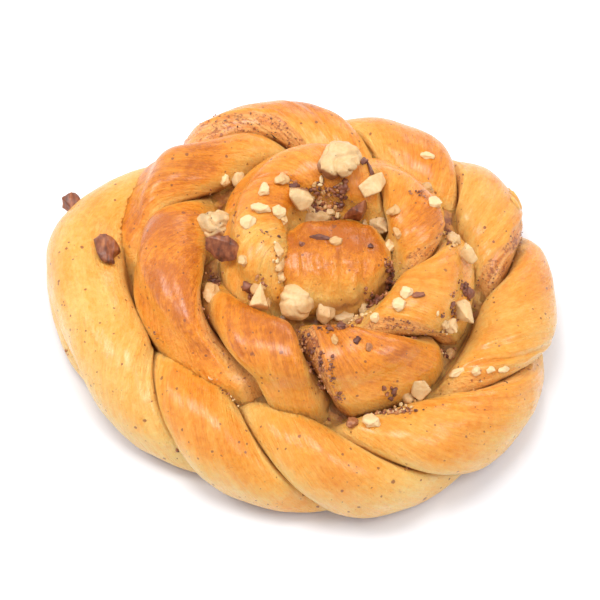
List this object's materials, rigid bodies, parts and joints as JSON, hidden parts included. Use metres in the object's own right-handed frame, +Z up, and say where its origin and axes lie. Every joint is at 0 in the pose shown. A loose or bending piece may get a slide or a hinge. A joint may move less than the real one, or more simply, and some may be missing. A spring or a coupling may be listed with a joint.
{
  "type": "flower brioche",
  "caption": "Round sweet bun of two twisted strands of dough, coiled from a tucked tail to a domed knob, with chopped nuts on top.",
  "frame": {"origin": "centre of the bounding box, on the base", "axes": "+Z up from the flat base, +X along the longest side to the right of the tail, +Y to the back"},
  "size_m": [0.1304, 0.116, 0.0432],
  "materials": {
    "dough": "baked crust, golden with paler valleys, satin with a soft egg-wash gloss",
    "nut_kernel": "ivory chopped nut, matt with small brown flecks",
    "nut_skin": "wrinkled brown nut skin, matt"
  },
  "bodies": {
    "root": {"dough": "dough", "walnut_top": "nut_kernel", "walnut_left": "nut_kernel", "hazelnut_mid": "nut_kernel", "wedge_top": "nut_kernel", "wedge_mid": "nut_kernel", "chunk_upper": "nut_kernel", "chunk_lower": "nut_kernel", "chunk_right": "nut_kernel", "chunk_low_right": "nut_kernel", "chunk_mid_right": "nut_kernel", "walnut_skin_left": "nut_skin", "walnut_skin_top": "nut_skin", "tail_chip": "nut_skin", "edge_chip": "nut_skin"}
  },
  "joints": []
}
